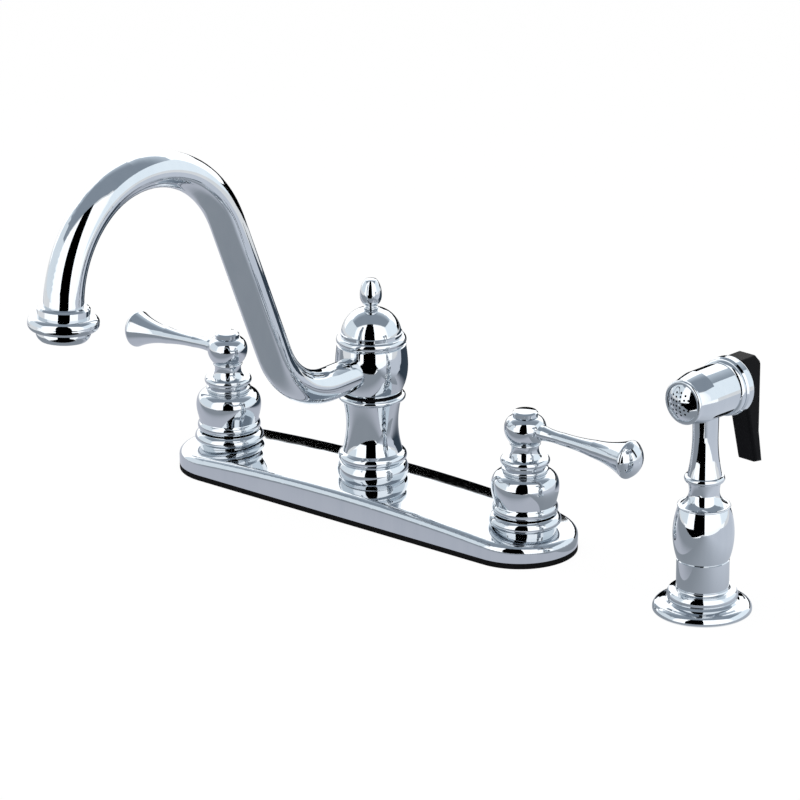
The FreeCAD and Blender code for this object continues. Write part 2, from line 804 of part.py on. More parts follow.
# ---------------------------------------------------------------- spout barrel, dome and finial
def spout_barrel():
    """Turning chrome barrel with its bore, its water ring and the tube's socket."""
    bore = bearing_r + running_gap
    widest = barrel_foot + barrel_widest
    ring_foot = barrel_ring_foot
    body = turned([
        (bore, barrel_foot), (barrel_foot_r - edge_break, barrel_foot),
        (barrel_foot_r, barrel_foot + edge_break),
        (barrel_r - 1.1, barrel_foot + barrel_widest * 0.45, barrel_r, widest,
         (barrel_r + barrel_top_r) / 2 + 0.2, (widest + ring_foot) / 2,
         barrel_top_r, ring_foot - 0.5),
        (barrel_groove_r, ring_foot), (barrel_groove_r, ring_foot + 0.5),
        (barrel_ring_r - 0.8, ring_foot + 0.5),
        (barrel_ring_r, (ring_foot + barrel_top) / 2 + 0.2, barrel_ring_r - 0.9, barrel_top - 0.2),
        (barrel_ring_r - 1.4, barrel_top), (crown_bore_r, barrel_top),
        (crown_bore_r, crown_floor), (bore, crown_floor)])
    water_foot = spout_level - water_ring_height / 2
    body = body.cut(rod(water_ring_r, water_foot, water_foot + water_ring_height))
    outside = Vector(0, -2 * barrel_r, spout_level)
    return body.cut(cross_rod(spout_tube_r, Vector(0, -spout_root, spout_level), outside))


def dome_cap():
    """Domed cap that closes the barrel."""
    low = barrel_top
    step_top = low + dome_step_height
    skirt_r = crown_bore_r - running_gap
    inner_r = dome_r - dome_wall
    bend = math.cos(math.radians(45))
    shell = turned([
        (skirt_r, low - dome_skirt_height), (skirt_r, low), (dome_step_r, low),
        (dome_step_r, step_top - 0.3), (dome_r, step_top),
        (dome_r * bend + dome_fullness, step_top + dome_height * bend, dome_top_r, dome_top),
        (finial_stud_r, dome_top), (finial_stud_r, dome_top - dome_wall - 1.0),
        (dome_top_r, dome_top - dome_wall - 1.0),
        (inner_r * bend + dome_fullness, step_top + (dome_height - dome_wall) * bend - 0.6,
         skirt_r - dome_skirt_wall, step_top),
        (skirt_r - dome_skirt_wall, low - dome_skirt_height)])
    return shell


def finial():
    """Acorn that screws into the dome."""
    foot_top = dome_top + finial_foot_height
    low = foot_top + finial_neck_height
    top = low + finial_height
    widest = low + finial_widest
    return turned([
        (0, dome_top - dome_wall), (finial_stud_r, dome_top - dome_wall), (finial_stud_r, dome_top),
        (finial_foot_r - 0.4, dome_top),
        (finial_foot_r, dome_top + finial_foot_height / 2, finial_foot_r - 0.4, foot_top),
        (finial_neck_r, foot_top + finial_neck_height / 2, finial_low_r - 0.6, low),
        (finial_r * 0.93, low + finial_widest * 0.4, finial_r, widest,
         finial_r * 0.87, (widest + top) / 2, finial_tip_r, top - finial_tip_height),
        ("dome", top)])


# ---------------------------------------------------------------- spout tube and aerator
def spout_path():
    """The tube's centre line from the barrel to the tip, one edge for each straight or arc."""
    rise = math.radians(rise_angle)
    swell = math.radians(swell_turn)
    drop = rise + math.radians(90 - tip_lean - arch_turn) - swell
    here = Vector(0, -spout_root, spout_level)
    run_end = Vector(0, -spout_run, spout_level)
    edges = [Part.makeLine(here, run_end)]
    here, heading = add_bend(edges, run_end, 0, rise_bend_r, rise)
    rise_end = here + rise_length * Vector(0, -math.cos(heading), math.sin(heading))
    edges.append(Part.makeLine(here, rise_end))
    here, heading = add_bend(edges, rise_end, heading, arch_bend_r, -math.radians(arch_turn))
    here, heading = add_bend(edges, here, heading, drop_bend_r, -drop)
    add_bend(edges, here, heading, drop_bend_r, -swell)
    return edges


def add_bend(edges, start, heading, bend_r, turn):
    """Add an arc to a centre line: heading in radians above level, a positive turn goes up.
    Returns where the arc ends, and its heading there."""
    side = math.copysign(bend_r, turn)
    centre = start + side * Vector(0, math.sin(heading), math.cos(heading))

    def point(angle):
        return centre - side * Vector(0, math.sin(angle), math.cos(angle))

    end = heading + turn
    edges.append(Part.Arc(start, point(heading + turn / 2), point(end)).toShape())
    return point(end), end


def tube_solid(radius, end_r):
    """A round bar along the spout's path that swells to its end radius over the last bend."""
    whole = None
    path = spout_path()
    for edge in path:
        last_r = end_r if edge is path[-1] else radius
        sections = [section_at(edge, edge.FirstParameter, radius),
                    section_at(edge, edge.LastParameter, last_r)]
        piece = Part.Wire([edge]).makePipeShell(sections, True, False)
        whole = whole.fuse(piece) if whole else piece
    return whole.removeSplitter()


def section_at(edge, parameter, radius):
    """A circle across the tube's centre line."""
    circle = Part.Circle(edge.valueAt(parameter), edge.tangentAt(parameter), radius)
    return Part.Wire(circle.toShape())


def tip_placement():
    """Where the tip starts and how it leans: its own +Z runs down the tip."""
    last = spout_path()[-1]
    down = Vector(0, -math.sin(math.radians(tip_lean)), -math.cos(math.radians(tip_lean)))
    return Placement(last.valueAt(last.LastParameter), Rotation(Vector(0, 0, 1), down))


def at_tip(shape):
    """Place a piece that is drawn along the tip's own axis."""
    return moved_by(shape, tip_placement())


def spout_tube():
    """Arched chrome tube with a slightly swollen end."""
    inner = spout_tube_r - spout_tube_wall
    outside = tube_solid(spout_tube_r, tip_start_r)
    outside = outside.fuse(at_tip(Part.makeCone(tip_start_r, tip_end_r, tip_length)))
    bore = tube_solid(inner, inner).fuse(at_tip(rod(inner, 0, tip_length)))
    return outside.cut(bore)


def tip_r_at(distance):
    """Outer radius of the tube's tip at a distance below the last bend."""
    return tip_start_r + (tip_end_r - tip_start_r) * distance / tip_length


def tip_collar():
    """Chrome collar that slides up over the tube's tip."""
    low, high = tip_collar_start, tip_collar_start + tip_collar_height
    return at_tip(turned([
        (tip_r_at(low), low), (tip_r_at(low) + 1.2, low), (tip_collar_r - 0.8, low + 0.5),
        (tip_collar_r, low + 1.4), (tip_collar_r, high), (tip_r_at(high), high)]))


def tip_ring():
    """Broad round ring of the aerator's shell."""
    low = tip_collar_start + tip_collar_height
    high = low + tip_ring_height
    edge = tip_collar_r + 1.4
    return at_tip(turned([
        (tip_end_r, low), (edge, low),
        (tip_ring_r - 0.8, low + 0.9, tip_ring_r, (low + high) / 2),
        (tip_ring_r - 0.9, high - 0.9, nozzle_r + 1.0, high), (tip_end_r, high)]))


def nozzle():
    """Lower nozzle, screwed up into the ring."""
    low = tip_collar_start + tip_collar_height + tip_ring_height
    high = low + nozzle_height
    inner = nozzle_end_r - nozzle_wall
    return at_tip(turned([
        (inner, low), (nozzle_r, low), (nozzle_r, low + 1.0),
        (nozzle_r - 0.4, low + nozzle_height * 0.6, nozzle_end_r, high - 0.5),
        (nozzle_end_r - 0.5, high), (inner, high)]))


def aerator_screen():
    """Plastic insert with rings of small holes, set up inside the nozzle."""
    low = tip_collar_start + tip_collar_height + tip_ring_height
    high = low + nozzle_height - screen_recess
    disc = rod(nozzle_end_r - nozzle_wall, high - screen_height, high)
    for row in range(1, screen_hole_rows + 1):
        for i in range(6 * row):
            angle = 2 * math.pi * i / (6 * row)
            x = row * screen_row_pitch * math.cos(angle)
            y = row * screen_row_pitch * math.sin(angle)
            disc = disc.cut(placed(rod(screen_hole_r, high - screen_height, high), x, y))
    return at_tip(disc)


def aerator_washer():
    """Rubber washer between the tube's end and the nozzle."""
    low = tip_length
    inner = spout_tube_r - spout_tube_wall
    return at_tip(ring(tip_end_r, inner, low, low + tip_washer_height))


# ---------------------------------------------------------------- below the deck
def shank_washer():
    """Steel washer under the deck."""
    return ring(shank_washer_r, shank_r, -deck_thickness - shank_washer_height, -deck_thickness)


def lock_nut():
    """Hexagonal nut that clamps a shank to the deck."""
    top = lock_nut_bottom + lock_nut_height
    return hexagon(lock_nut_flats, lock_nut_bottom, top).cut(rod(shank_r, lock_nut_bottom, top))


# ---------------------------------------------------------------- side sprayer, on its own axis
def spray_holder():
    """Chrome flange and collar that the sprayer stands in."""
    inner = guide_r
    return turned([
        (inner, 0), (holder_r - edge_break, 0), (holder_r, edge_break),
        (holder_r, holder_rim_height - 2 * edge_break),
        (holder_r - 0.5, holder_rim_height + 0.5, holder_slope_r + 1.0, holder_slope_top - 1.0),
        (holder_slope_r, holder_slope_top - 0.6), (holder_step_r + 1.0, holder_slope_top),
        (holder_step_r, holder_slope_top + 0.8),
        (holder_step_r + 0.3, (holder_slope_top + holder_step_top) / 2,
         holder_step_r - 0.7, holder_step_top),
        (holder_collar_r + 1.2, holder_step_top + 0.3),
        (holder_collar_r + 0.2, holder_step_top + 0.9, holder_collar_r, holder_collar_foot),
        (holder_collar_r, holder_collar_top - edge_break),
        (holder_collar_r - edge_break, holder_collar_top),
        (inner, holder_collar_top)])


def spray_guide():
    """Black plastic sleeve through the deck, with a thread for its nut."""
    sleeve = ring(guide_r, guide_bore_r, -guide_length, holder_collar_top - guide_rest)
    return sleeve.cut(relief(guide_r, spray_nut_bottom - relief_gap))


def spray_washer():
    """Rubber washer under the deck."""
    return ring(spray_washer_r, guide_r, -deck_thickness - shank_washer_height, -deck_thickness)


def spray_nut():
    """Plastic nut under the deck."""
    top = spray_nut_bottom + spray_nut_height
    return hexagon(spray_nut_flats, spray_nut_bottom, top).cut(rod(guide_r, spray_nut_bottom, top))


def hose_coupling():
    """Brass tail of the sprayer, where its hose screws in."""
    outer = guide_bore_r - tail_gap
    body = rod(outer, tail_bottom, grip_foot)
    top = grip_foot + tail_screw_height
    body = body.fuse(rod(outer - tail_step, grip_foot, top))
    return body.cut(rod(tail_bore_r, tail_bottom, top))


def spray_grip():
    """Chrome barrel of the sprayer's handle."""
    socket_r = guide_bore_r - tail_gap - tail_step
    socket_top = grip_foot + tail_screw_height
    inner = grip_top_r - grip_wall
    mid = grip_foot + grip_height / 2
    step_top = grip_top + grip_step_height
    return turned([
        (socket_r, grip_foot), (grip_foot_r - edge_break, grip_foot),
        (grip_foot_r, grip_foot + edge_break),
        (grip_r, mid, grip_top_r - 0.2, grip_top),
        (grip_top_r + 0.3, grip_top + grip_step_height / 2, grip_top_r - 0.4, step_top),
        (neck_bore_r, step_top), (neck_bore_r, step_top - grip_wall),
        (inner, step_top - grip_wall - 3.0), (inner, socket_top + 2.0),
        (socket_r, socket_top)])


def spray_neck():
    """Slim chrome neck with a ring, up to the head."""
    foot = grip_top + grip_step_height
    ring_foot = spray_ring_foot
    ring_top = ring_foot + spray_ring_height
    neck = turned([
        (neck_bore_r, foot), (neck_start_r, foot),
        (neck_cove_r + 1.0, foot + 3.2, neck_cove_r, foot + neck_cove_height * 0.5),
        (neck_cove_r + 0.1, foot + neck_cove_height * 0.75, neck_cove_r + 0.8, ring_foot),
        (spray_ring_r - 0.5, ring_foot + 0.3),
        (spray_ring_r, (ring_foot + ring_top) / 2, spray_ring_r - 0.6, ring_top),
        (neck_upper_r, ring_top + 0.2),
        (neck_slim_r + 0.5, ring_top + (neck_top - ring_top) * 0.35,
         neck_slim_r, ring_top + (neck_top - ring_top) * 0.7),
        (neck_slim_r + 0.1, neck_top - 3.0, neck_slim_r + 0.4, head_level),
        (neck_bore_r, head_level)])
    return neck.cut(along_head(rod(head_r, -2 * head_r, 2 * head_r)))


def along_head(shape):
    """Lay a piece drawn on Z along the head's axis, +Z going to the front."""
    return moved_by(shape, Placement(Vector(0, 0, head_level), Rotation(Vector(1, 0, 0), 90)))


def spray_head():
    """Hollow chrome body of the head."""
    inner = head_r - head_wall
    tip = head_front + head_shoulder
    body = along_head(turned([
        (inner, -head_back), (head_r, -head_back), (head_r, head_front - 1.0),
        (head_r - 0.3, head_front + 0.8, face_ring_r - 0.4, tip),
        (inner - 2.0, tip), (inner - 2.0, head_front - 2.0), (inner, head_front - 4.0)]))
    return body.cut(rod(neck_bore_r, 0, head_level))


def face_ring():
    """Chrome ring round the spray face."""
    low = head_front + head_shoulder
    high = low + face_ring_length
    return along_head(turned([
        (face_disc_r, low), (face_ring_r, low), (face_ring_r, high - 1.2),
        (face_ring_r - 0.3, high - 0.3, face_ring_r - 1.2, high), (face_disc_r, high)]))


def spray_face():
    """Domed disc with three rings of spray holes."""
    high = head_front + head_shoulder + face_ring_length - 0.4
    low = high - face_disc_height
    disc = turned([(0, low), (face_disc_r, low), (face_disc_r, high),
                   ("dome", high + face_dome)])
    for count, row_r in spray_rows:
        for i in range(count):
            angle = 2 * math.pi * i / count
            hole = rod(spray_hole_r, low, high + 2 * face_dome)
            disc = disc.cut(placed(hole, row_r * math.cos(angle), row_r * math.sin(angle)))
    return along_head(disc)


def back_ring():
    """Flared chrome ring behind the head, with a groove."""
    flare_end = -head_back - back_flare_length
    low = flare_end - back_groove_length
    bore = valve_collar_r + loose_gap
    return along_head(turned([
        (bore, low), (back_groove_r, low), (back_groove_r, flare_end), (back_flare_r, flare_end),
        (back_flare_r - 0.3, -head_back - 0.8, head_r, -head_back), (bore, -head_back)]))


def back_cap():
    """Rear cap with the plunger's bore and an ear for the lever's pin."""
    low = -head_back_end
    high = low + back_cap_length
    bore = plunger_r + running_gap
    cap = along_head(turned([
        (bore, low), (back_cap_r - 1.2, low), (back_cap_r - 0.25, low + 0.5, back_cap_r, low + 1.6),
        (back_cap_r, high - 0.9), (back_cap_r - 0.8, high), (bore, high)]))
    ear = Part.makeBox(lever_ear_width, lever_pin_back, 2 * lever_ear_r,
                       Vector(-lever_ear_width / 2, head_back_end, lever_pin_z - lever_ear_r))
    eye_right = Vector(lever_ear_width / 2, lever_pin_y, lever_pin_z)
    eye_left = Vector(-lever_ear_width / 2, lever_pin_y, lever_pin_z)
    eye = cross_rod(lever_ear_r, eye_left, eye_right)
    return cap.fuse(ear).fuse(eye).cut(pin_rod(lever_pin_r))


def pin_rod(radius):
    """The lever's pin, or the hole for it."""
    side = Vector(lever_width / 2 - lever_pin_inset, 0, 0)
    centre = Vector(0, lever_pin_y, lever_pin_z)
    return cross_rod(radius, centre - side, centre + side)


def lever_pin():
    """Steel pin that the lever turns on."""
    return pin_rod(lever_pin_r)


def valve_seat():
    """Brass disc inside the head that the valve closes on."""
    return along_head(ring(head_r - head_wall, plunger_r + loose_gap,
                           -valve_seat_offset - valve_seat_height, -valve_seat_offset))


def valve_plunger():
    """Plunger that the lever pushes in, with the spring's collar."""
    tip = -lever_face_at_axis() + plunger_gap
    collar = -head_back_end + back_cap_length + valve_collar_gap
    shaft = rod(plunger_r, tip + plunger_r, -valve_seat_offset + 1.0)
    shaft = shaft.fuse(Part.makeSphere(plunger_r, Vector(0, 0, tip + plunger_r)))
    shaft = shaft.fuse(rod(valve_collar_r, collar, collar + valve_collar_height))
    return along_head(shaft)


def valve_spring():
    """Spring that pushes the plunger back out."""
    low = -head_back_end + back_cap_length + valve_collar_gap + valve_collar_height
    high = -valve_seat_offset - valve_seat_height
    return along_head(coil(plunger_r + valve_spring_gap, spring_wire_r, low, high,
                           valve_spring_turns))


def lever_face_at_axis():
    """How far behind the sprayer's axis the lever's sloping front is, at the head's axis."""
    slope_top = head_level + lever_slope_top
    share = lever_slope_top / (slope_top - lever_bottom)
    return lever_front + (lever_bottom_front - lever_front) * share


def spray_lever():
    """Black lever behind the head, thick at its pin and thin at its end."""
    top = head_level + lever_top
    corners = [
        (lever_front, head_level + lever_slope_top), (lever_front, top), (lever_crown_back, top),
        (lever_back - 0.6, top - lever_crown_drop), (lever_back, top - lever_crown_drop - 1.5),
        (lever_back, lever_back_low), (lever_bottom_back, lever_bottom),
        (lever_bottom_front, lever_bottom + 0.8)]
    points = [Vector(-lever_width / 2, y, z) for y, z in corners]
    body = Part.Face(Part.makePolygon(points + points[:1])).extrude(Vector(lever_width, 0, 0))
    sides = [e for e in body.Edges if abs(e.tangentAt(e.FirstParameter).x) < 0.5]
    body = body.makeFillet(lever_edge_round, sides)
    gap = lever_ear_width / 2 + loose_gap
    slot_back = lever_pin_y + lever_ear_r + lever_slot_gap
    slot_foot = lever_pin_z - lever_ear_r - lever_slot_drop
    slot_top = lever_pin_z + lever_ear_r + lever_slot_gap
    slot = Part.makeBox(2 * gap, slot_back - lever_front + lever_clear, slot_top - slot_foot,
                        Vector(-gap, lever_front - lever_clear, slot_foot))
    return body.cut(slot).cut(pin_rod(lever_pin_r + running_gap))


def at_sprayer(shape):
    """Move a sprayer's piece from its own axis to its place on the deck."""
    turn = Rotation(Vector(0, 0, 1), sprayer_turn)
    return moved_by(shape, Placement(Vector(sprayer_x, sprayer_y, 0), turn))


# ---------------------------------------------------------------- write the pieces
def write(name, shape):
    """Save one piece as parts/NAME.step."""
    if not shape.isValid():
        print("not valid:", name)
    shape.exportStep("parts/" + name + ".step")
    print(f"{name}: {len(shape.Solids)} solids, {shape.Volume:.1f} mm3")


def write_deck_pieces():
    """The plate, its gasket, the waterway and what is below the deck."""
    write("deck_plate", deck_plate())
    write("base_gasket", base_gasket())
    write("waterway", waterway())
    write("spout_column", spout_column())
    write("spout_bearing", spout_bearing())
    write("spout_orings", spout_orings())
    write("post_nut", post_nut())
    write("diverter_sleeve", diverter_sleeve())
    write("diverter_stop", diverter_stop())
    write("diverter_poppet", diverter_poppet())
    write("diverter_spring", diverter_spring())
    write("shank_washers", twins(shank_washer()))
    write("lock_nuts", twins(lock_nut()))


def write_valves_and_handles():
    """Each valve and handle twice: cold on +X as drawn, hot mirrored."""
    valve_pieces = {
        "valve_body": valve_body(), "turning_disc": ported_disc(turning_disc_foot()),
        "stem": stem(), "base_ring": base_ring(), "handle_bell": handle_bell(), "lever": lever(),
        "index_cap": index_cap(), "handle_screw": handle_screw()}
    for name, shape in valve_pieces.items():
        cold = placed(shape, half_spacing)
        write("cold_" + name, cold)
        write("hot_" + name, mirrored(cold))
    write("seat_seals", twins(seat_seal()))
    write("cartridge_shells", twins(cartridge_shell()))
    write("fixed_discs", twins(ported_disc(cartridge_foot)))
    write("bonnet_nuts", twins(bonnet_nut()))
    write("crossover_tubes", Part.makeCompound([crossover(), mirrored(crossover())]))


def write_spout():
    """What turns with the spout."""
    write("spout_barrel", spout_barrel())
    write("dome_cap", dome_cap())
    write("finial", finial())
    write("spout_tube", spout_tube())
    write("tip_collar", tip_collar())
    write("tip_ring", tip_ring())
    write("nozzle", nozzle())
    write("aerator_screen", aerator_screen())
    write("aerator_washer", aerator_washer())


def write_sprayer():
    """The side sprayer and its holder."""
    pieces = {
        "spray_holder": spray_holder(), "spray_guide": spray_guide(),
        "spray_washer": spray_washer(), "spray_nut": spray_nut(),
        "hose_coupling": hose_coupling(), "spray_grip": spray_grip(), "spray_neck": spray_neck(),
        "spray_head": spray_head(), "face_ring": face_ring(), "spray_face": spray_face(),
        "back_ring": back_ring(), "back_cap": back_cap(), "valve_seat": valve_seat(),
        "valve_plunger": valve_plunger(), "valve_spring": valve_spring(),
        "spray_lever": spray_lever(), "lever_pin": lever_pin()}
    for name, shape in pieces.items():
        write(name, at_sprayer(shape))


os.makedirs("parts", exist_ok=True)
write_deck_pieces()
write_valves_and_handles()
write_spout()
write_sprayer()
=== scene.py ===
# %% [markdown]
# # A two handle kitchen faucet with a side sprayer
# The real thing is polished chrome on cast and drawn brass, with a black grip
# lever on the sprayer and black rubber under the plate. Every solid of it comes
# from the CAD frame, in metres. This lesson gives each one its finish, puts
# steel copies of two springs in the place of the stiff ones, and sets up a small
# photographer's table around the whole.

# %% Load the frame
import math

import bpy
from mathutils import Matrix, Vector


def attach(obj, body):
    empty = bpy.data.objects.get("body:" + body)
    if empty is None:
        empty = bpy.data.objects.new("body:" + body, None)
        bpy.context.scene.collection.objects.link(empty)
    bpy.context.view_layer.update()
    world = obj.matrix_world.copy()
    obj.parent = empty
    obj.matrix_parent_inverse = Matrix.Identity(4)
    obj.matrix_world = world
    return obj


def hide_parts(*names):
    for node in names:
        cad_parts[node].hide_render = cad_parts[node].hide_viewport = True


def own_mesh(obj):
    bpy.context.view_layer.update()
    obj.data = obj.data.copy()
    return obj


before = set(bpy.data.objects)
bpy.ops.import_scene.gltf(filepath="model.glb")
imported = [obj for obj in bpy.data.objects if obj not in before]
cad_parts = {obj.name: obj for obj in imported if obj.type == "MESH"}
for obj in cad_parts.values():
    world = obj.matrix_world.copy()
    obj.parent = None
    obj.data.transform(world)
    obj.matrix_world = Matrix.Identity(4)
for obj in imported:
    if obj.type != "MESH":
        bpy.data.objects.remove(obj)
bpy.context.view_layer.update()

# %% [markdown]
# ## Where the camera stands
# The picture looks down by about twenty degrees, from the right of the front.
# A long lens far away keeps the plate's two long edges nearly parallel. The
# angles and the distance were fitted to the turned rings, whose ellipses give
# the tilt, and to the plate's corners.

# %% Camera
AZIMUTH = math.radians(39.288)
ELEVATION = math.radians(19.734)
ROLL = math.radians(-0.489)
AIM = Vector((0.019053, 0.0, 0.063558))
DISTANCE = 2.00849
LENS_MM = 172.434
SENSOR_MM = 36.0
CAMERA_REACH = 50.0

flat_back = Vector((math.sin(AZIMUTH), -math.cos(AZIMUTH), 0.0))
flat_right = Vector((math.cos(AZIMUTH), math.sin(AZIMUTH), 0.0))
back = flat_back * math.cos(ELEVATION) + Vector((0, 0, math.sin(ELEVATION)))
level_up = back.cross(flat_right)
right = flat_right * math.cos(ROLL) + level_up * math.sin(ROLL)
up = level_up * math.cos(ROLL) - flat_right * math.sin(ROLL)

camera = bpy.data.objects.new("camera", bpy.data.cameras.new("camera"))
camera.data.lens = LENS_MM
camera.data.sensor_width = SENSOR_MM
camera.data.clip_end = CAMERA_REACH
camera.matrix_world = Matrix.Translation(AIM + back * DISTANCE) @ (
    Matrix((right, up, back)).transposed().to_4x4()
)
bpy.context.scene.collection.objects.link(camera)
bpy.context.scene.camera = camera
bpy.context.scene.view_settings.view_transform = "Standard"
print("camera at", [round(v, 3) for v in camera.location])

# %% [markdown]
# ## Writing materials as sums
# Node trees are easier to read as arithmetic. `Signal` wraps one output socket,
# so that `film * 0.2 + 0.05` adds its Math nodes by itself, and every other node
# comes from `Finish.node`: its type, its settings, and its inputs. An input that
# is given a plain number or colour is set on the socket itself.

# %% Signal and Finish


class Signal:
    """One node output. To add to it, multiply it or take it from a number adds a node."""

    def __init__(self, finish, socket):
        self.finish = finish
        self.socket = socket

    def math(self, operation, first, second):
        return self.finish.node(
            "ShaderNodeMath", {"operation": operation}, {0: first, 1: second}
        )

    def __add__(self, other):
        return self.math("ADD", self, other)

    def __rsub__(self, other):
        return self.math("SUBTRACT", other, self)

    def __mul__(self, other):
        return self.math("MULTIPLY", self, other)


class Finish:
    """A material, or the world, whose nodes are being laid."""

    def __init__(self, owner):
        self.owner = owner
        owner.use_nodes = True
        self.tree = owner.node_tree
        self.tree.nodes.clear()

    def node(self, kind, settings=None, sockets=None, output=0):
        """A new node, with its settings and inputs; gives back one of its outputs."""
        made = self.tree.nodes.new(kind)
        for name, value in (settings or {}).items():
            setattr(made, name, value)
        for name, value in (sockets or {}).items():
            if isinstance(value, Signal):
                self.tree.links.new(value.socket, made.inputs[name])
            else:
                made.inputs[name].default_value = value
        return Signal(self, made.outputs[output]) if made.outputs else None

    def place(self):
        """Where a point lies on the object, in metres, whatever the pose."""
        return self.node("ShaderNodeTexCoord", output="Object")

    def speckle(self, size, detail, stretch=(1.0, 1.0, 1.0)):
        """Soft noise from 0 to 1 whose blotches are about size metres, or longer along
        an axis whose stretch is below 1."""
        drawn_out = self.node(
            "ShaderNodeMapping",
            {"vector_type": "POINT"},
            {"Vector": self.place(), "Scale": stretch},
        )
        return self.node(
            "ShaderNodeTexNoise",
            {},
            {"Vector": drawn_out, "Scale": 1.0 / size, "Detail": detail},
        )

    def between(self, amount, low, high):
        """A colour that goes from low to high as amount goes from 0 to 1."""
        return self.node(
            "ShaderNodeMix",
            {"data_type": "RGBA"},
            {"Factor": amount, 6: (*low, 1.0), 7: (*high, 1.0)},
            output=2,
        )

    def bump(self, height, depth):
        """A normal from a height signal that is depth metres deep."""
        return self.node(
            "ShaderNodeBump", {}, {"Height": height, "Distance": depth, "Strength": 1.0}
        )

    def surface(self, shader):
        """Lay the last node and give the finished material or world back."""
        kind = (
            "ShaderNodeOutputWorld"
            if isinstance(self.owner, bpy.types.World)
            else "ShaderNodeOutputMaterial"
        )
        self.node(kind, {}, {"Surface": shader})
        return self.owner


def coat(name):
    """A new material, ready for its nodes."""
    return Finish(bpy.data.materials.new(name))


print("helpers ready")

# %% [markdown]
# ## Polished chrome
# Chromium plate is a mirror with a faint blue cast that gives back about two
# thirds of the light. What keeps it from looking computed is small: a slow
# waviness left by the buffing wheel, a film of handling marks that dulls and
# blurs the mirror in patches, and hairline scratches from wiping. The sprayer's
# pierced face is cast, not buffed, so its film is rougher.

# %% Chrome
CHROME_CLEAN = (0.66, 0.69, 0.72)
CHROME_FILMED = (0.58, 0.62, 0.66)
FILM_SIZE = 0.035
FILM_AMOUNT = 1.6
WIPE_SIZE = 0.004
WIPE_STRETCH = (1.0, 1.0, 0.12)
WAVE_SIZE = 0.014
HAIRLINE_SIZE = 0.0007
HAIRLINE_STRETCH = (1.0, 1.0, 0.05)
HAIRLINE_HEIGHT = 0.004
HAIRLINE_ROUGHNESS = 0.012
MIRROR_ROUGHNESS = 0.022


def chrome_finish(name, film_roughness, wave_depth):
    chrome = coat(name)
    film = chrome.speckle(FILM_SIZE, 3.0)
    wiped = chrome.speckle(WIPE_SIZE, 2.0, WIPE_STRETCH)
    wave = chrome.speckle(WAVE_SIZE, 1.0)
    hairline = chrome.speckle(HAIRLINE_SIZE, 1.0, HAIRLINE_STRETCH)
    filmed = film * wiped * FILM_AMOUNT
    blur = film * film * film_roughness + hairline * HAIRLINE_ROUGHNESS + MIRROR_ROUGHNESS
    shader = chrome.node(
        "ShaderNodeBsdfPrincipled",
        {},
        {
            "Base Color": chrome.between(filmed, CHROME_CLEAN, CHROME_FILMED),
            "Metallic": 1.0,
            "Roughness": blur,
            "Normal": chrome.bump(wave + hairline * HAIRLINE_HEIGHT, wave_depth),
        },
    )
    return chrome.surface(shader)


polished_chrome = chrome_finish("polished_chrome", film_roughness=0.05, wave_depth=0.000012)
sprayer_face_chrome = chrome_finish(
    "sprayer_face_chrome", film_roughness=0.12, wave_depth=0.000014
)
print("two chrome finishes")

# %% [markdown]
# ## The working metals
# Out of sight the parts stay bare: turned brass with fine tool rings round its
# axis and darker tarnish blotches, drawn copper tube, and steel nuts, springs
# and screws. They all share one recipe with their own colours. The tool rings
# are noise that is drawn out sideways, so it lies in level bands.

# %% Bare metals
BLOTCH_SIZE = 0.012
BLOTCH_ROUGHNESS = 0.22
RING_SIZE = 0.0009
RING_STRETCH = (0.08, 0.08, 1.0)
RING_ROUGHNESS = 0.1
RING_DEPTH = 0.00003
TARNISH_AMOUNT = 2.0


def bare_metal(name, fresh, tarnished, least_roughness):
    metal = coat(name)
    blotch = metal.speckle(BLOTCH_SIZE, 4.0)
    rings = metal.speckle(RING_SIZE, 1.0, RING_STRETCH)
    tarnish = blotch * rings * TARNISH_AMOUNT
    shader = metal.node(
        "ShaderNodeBsdfPrincipled",
        {},
        {
            "Base Color": metal.between(tarnish, fresh, tarnished),
            "Metallic": 1.0,
            "Roughness": blotch * BLOTCH_ROUGHNESS + rings * RING_ROUGHNESS + least_roughness,
            "Normal": metal.bump(rings, RING_DEPTH),
        },
    )
    return metal.surface(shader)


turned_brass = bare_metal("turned_brass", (0.78, 0.57, 0.26), (0.42, 0.27, 0.10), 0.12)
drawn_copper = bare_metal("drawn_copper", (0.86, 0.45, 0.30), (0.40, 0.17, 0.09), 0.14)
bright_steel = bare_metal("bright_steel", (0.62, 0.62, 0.61), (0.36, 0.35, 0.34), 0.14)
print("brass, copper and steel")

# %% [markdown]
# ## Rubber, plastic and ceramic
# The grip lever is moulded in black plastic with a satin, faintly grained skin,
# rubbed shinier in patches. The gasket and washers are matt rubber with a dusty
# bloom. Both are so black that hardly a highlight shows, hence their low
# specular level. The aerator's screen and the diverter are white plastic and the
# valves' discs are ceramic, all pale and fine grained.

# %% Moulded finishes
RUB_SIZE = 0.02
RUB_GLOSS = 0.16
GRAIN_ROUGHNESS = 0.1
WEAR_AMOUNT = 1.8
USUAL_HIGHLIGHT = 0.5


def moulded(name, deep, worn, roughness, grain, highlight=USUAL_HIGHLIGHT):
    """A moulded skin; grain is the size and the depth of its texture, in metres."""
    grain_size, grain_depth = grain
    skin = coat(name)
    rubbed = skin.speckle(RUB_SIZE, 3.0)
    pebble = skin.speckle(grain_size, 2.0)
    shader = skin.node(
        "ShaderNodeBsdfPrincipled",
        {},
        {
            "Base Color": skin.between(rubbed * pebble * WEAR_AMOUNT, deep, worn),
            "Roughness": roughness - rubbed * RUB_GLOSS + pebble * GRAIN_ROUGHNESS,
            "Specular IOR Level": highlight,
            "Normal": skin.bump(pebble, grain_depth),
        },
    )
    return skin.surface(shader)


